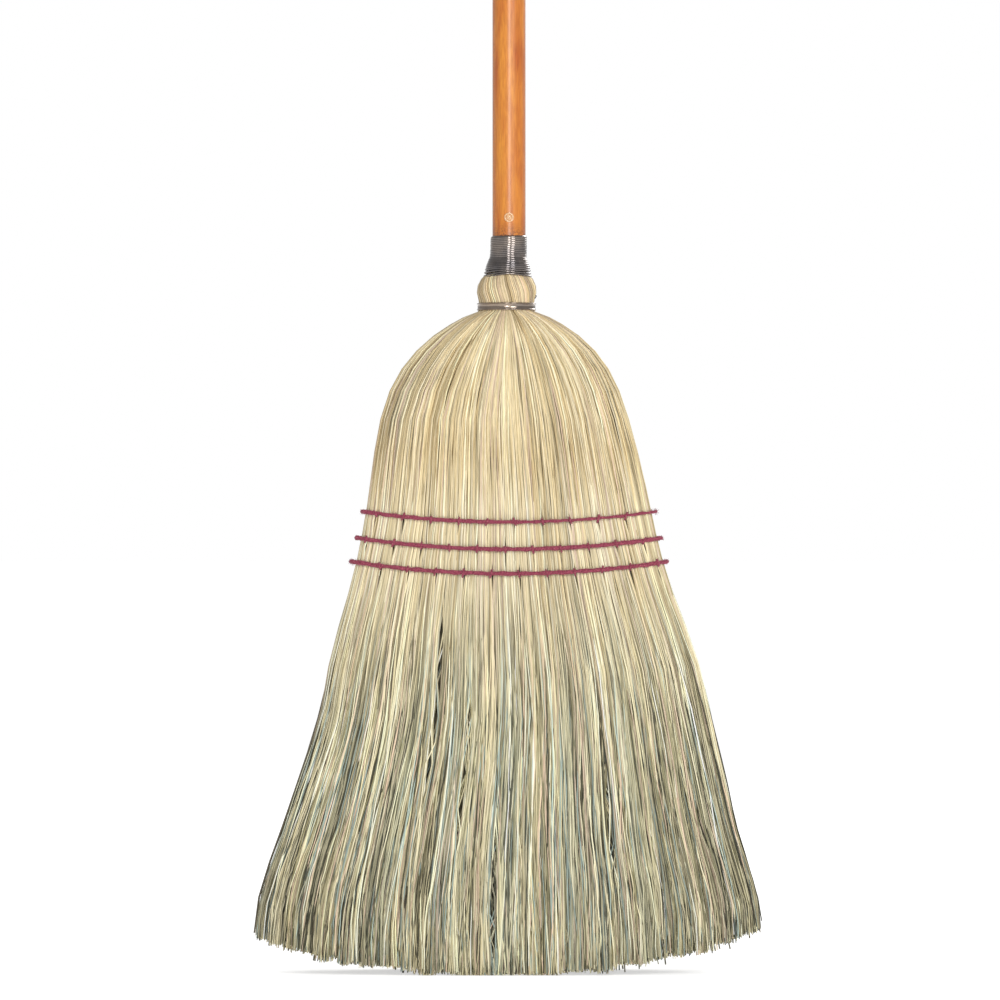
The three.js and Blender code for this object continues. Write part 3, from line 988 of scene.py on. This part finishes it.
def binding_path():
    """The wire that binds the inner straw to the tenon, and its end, which pokes out of the neck."""
    radius = 0.66 * MM
    low, high = box("binding_wire")
    turns = 14
    share = np.linspace(0, 1, turns * 40)
    angle = TAU * turns * share
    r = float(high[0]) - radius
    z = low[2] + radius + (high[2] - low[2] - 2 * radius) * share
    wound = np.stack([r * np.cos(angle), r * np.sin(angle), z], axis=1)
    neck = float(BAND_HIGH[2])
    end = np.array([(14.5, 0, -6), (16.5, -1, -1), (18.8, -2, 2.4), (20.6, -2.6, 4.0), (21.3, -3, 5.6)]) * MM
    end[:, 0] += sway(neck)
    end[:, 2] += neck
    return np.vstack([wound, end]), np.full(len(wound) + len(end), radius)


def build_wires(material):
    for name, node, (path, radii) in (
        ("winding", "winding_wire", winding_path()),
        ("inner_binding", "binding_wire", binding_path()),
    ):
        piece = new_object(name, wire_mesh(name, path, radii), material)
        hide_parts(node)


def build_handle(material):
    """A turned wooden handle: a tapered tenon in the straw, a long round shaft and a domed end."""
    low, high = float(HANDLE_LOW[2]), float(HANDLE_HIGH[2])
    r = HANDLE_RADIUS
    tenon = 8.8 * MM
    dome = 13 * MM
    profile = [(0, low), (5.4 * MM, low), (6.2 * MM, low + 0.8 * MM), (7.6 * MM, low + 17 * MM)]
    profile += [(tenon, low + 38 * MM), (tenon, low + 66 * MM), (r, low + 80 * MM)]
    profile += [(r, z) for z in np.linspace(low + 90 * MM, high - dome, 24)]
    profile += [
        (r * math.cos(a) ** 0.7, high - dome + dome * math.sin(a))
        for a in np.linspace(0.1, 0.47 * math.pi, 12)
    ]
    profile += [(0, high)]
    piece = new_object("turned_handle", lathe_mesh("turned_handle", profile), material)
    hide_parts("handle")


def build_nail(material):
    """The domed nail that holds the wire's end, and the ring of lacquer that stands round it."""
    low, high = box("anchor_nail")
    head = float(high[2] - low[2]) / 2
    centre = float(high[2] + low[2]) / 2
    front = float(low[1])
    profile = [(0, 0), (0.5 * head, 0.06 * head), (0.85 * head, 0.22 * head), (head, 0.5 * head)]
    profile += [(0.96 * head, 0.66 * head), (0.4 * head, 0.7 * head), (0.4 * head, 12 * MM), (0, 14 * MM)]
    mesh = lathe_mesh("domed_nail", profile, 32)
    turn_to_front(mesh, front + 0.5 * MM, centre)
    piece = new_object("domed_nail", mesh, material)
    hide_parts("anchor_nail")
    ring, tube = 1.25 * head, 0.27 * head
    section = [
        (ring + tube * math.cos(a), 0.8 * tube * math.sin(a))
        for a in np.linspace(0, TAU, 12, endpoint=False)
    ]
    mesh = lathe_mesh("lacquer_ring", section, 40)
    turn_to_front(mesh, -HANDLE_RADIUS, centre)
    new_object("lacquer_ring", mesh, material)


def turn_to_front(mesh, front, height):
    """Lays a turned body along Y at the handle's front, bent to the handle's round surface."""
    points = np.empty(3 * len(mesh.vertices), dtype=np.float32)
    mesh.vertices.foreach_get("co", points)
    points = points.reshape(-1, 3)
    bend = HANDLE_RADIUS - np.sqrt(np.maximum(HANDLE_RADIUS**2 - points[:, 0] ** 2, 0))
    moved = np.stack([points[:, 0], front + points[:, 2] + bend, height + points[:, 1]], axis=1)
    mesh.vertices.foreach_set("co", moved.astype(np.float32).ravel())
    mesh.update()


# ---- Stage ----

def build_floor():
    size = 30.0
    mesh = bpy.data.meshes.new("floor")
    corners = [(-size, -size, 0), (size, -size, 0), (size, size, 0), (-size, size, 0)]
    mesh.from_pydata(corners, [], [(0, 1, 2, 3)])
    floor = bpy.data.objects.new("floor", mesh)
    bpy.context.scene.collection.objects.link(floor)
    n = Nodes("pale_floor")
    n.set("Base Color", (0.8, 0.8, 0.8, 1))
    n.set("Roughness", 0.9)
    n.set("Specular IOR Level", 0.0)
    n.set("Emission Color", (1, 1, 1, 1))
    n.set("Emission Strength", 0.58)
    mesh.materials.append(n.material)


def add_light(name, place, target, size, power):
    data = bpy.data.lights.new(name, "AREA")
    data.shape = "RECTANGLE"
    data.size, data.size_y = size
    data.energy = power
    light = bpy.data.objects.new(name, data)
    bpy.context.scene.collection.objects.link(light)
    light.location = place
    aim = Vector(target) - Vector(place)
    light.rotation_euler = aim.to_track_quat("-Z", "Y").to_euler()


def build_light():
    world = bpy.data.worlds.new("white_studio")
    bpy.context.scene.world = world
    world.use_nodes = True
    tree = world.node_tree
    sky = tree.nodes["Background"]
    sky.inputs["Color"].default_value = (1, 1, 1, 1)
    path = tree.nodes.new("ShaderNodeLightPath")
    strength = tree.nodes.new("ShaderNodeMapRange")
    strength.inputs["To Min"].default_value = 0.55
    strength.inputs["To Max"].default_value = 1.0
    tree.links.new(path.outputs["Is Camera Ray"], strength.inputs["Value"])
    tree.links.new(strength.outputs["Result"], sky.inputs["Strength"])
    add_light("key", (1.3, -2.4, 1.6), (0, 0, 0.35), (0.9, 0.9), 32)
    add_light("front_strip", (0.14, -3.0, 1.0), (0, 0, 0.5), (0.6, 1.8), 32)
    add_light("back", (1.2, 2.4, 1.8), (0, 0, 0.4), (1.4, 1.4), 34)


def build_camera():
    """A long lens, level, at the height of the middle of the view."""
    view_width = 0.72
    distance = 4.5
    camera_data = bpy.data.cameras.new("camera")
    camera_data.sensor_width = 36
    camera_data.lens = camera_data.sensor_width * distance / view_width
    camera = bpy.data.objects.new("camera", camera_data)
    bpy.context.scene.collection.objects.link(camera)
    camera.location = (-6.5 * MM, -distance, 340 * MM)
    camera.rotation_euler = (math.pi / 2, 0, 0)
    bpy.context.scene.camera = camera


# ---- The scene ----

bpy.context.scene.view_settings.view_transform = "Standard"
build_camera()
build_floor()
build_light()

straw = straw_material()
lacquer = lacquer_material()
# The tones of the wire and the band are partly painted reflection, darker and browner than the steel for the
# dark and warm surroundings it mirrors.
wire = metal_material("grey_wire", (0.13, 0.12, 0.12), (0.25, 0.21, 0.18), (0.1, 0.2), (300, 300, 120))
band = metal_material("rolled_steel", (0.2, 0.17, 0.15), (0.38, 0.3, 0.23), (0.14, 0.24), (90, 90, 240))
nail = lacquered_nail_material()

build_straw(straw)
build_twine(twine_material())
build_band(band)
build_wires(wire)
build_handle(lacquer)
build_nail(nail)
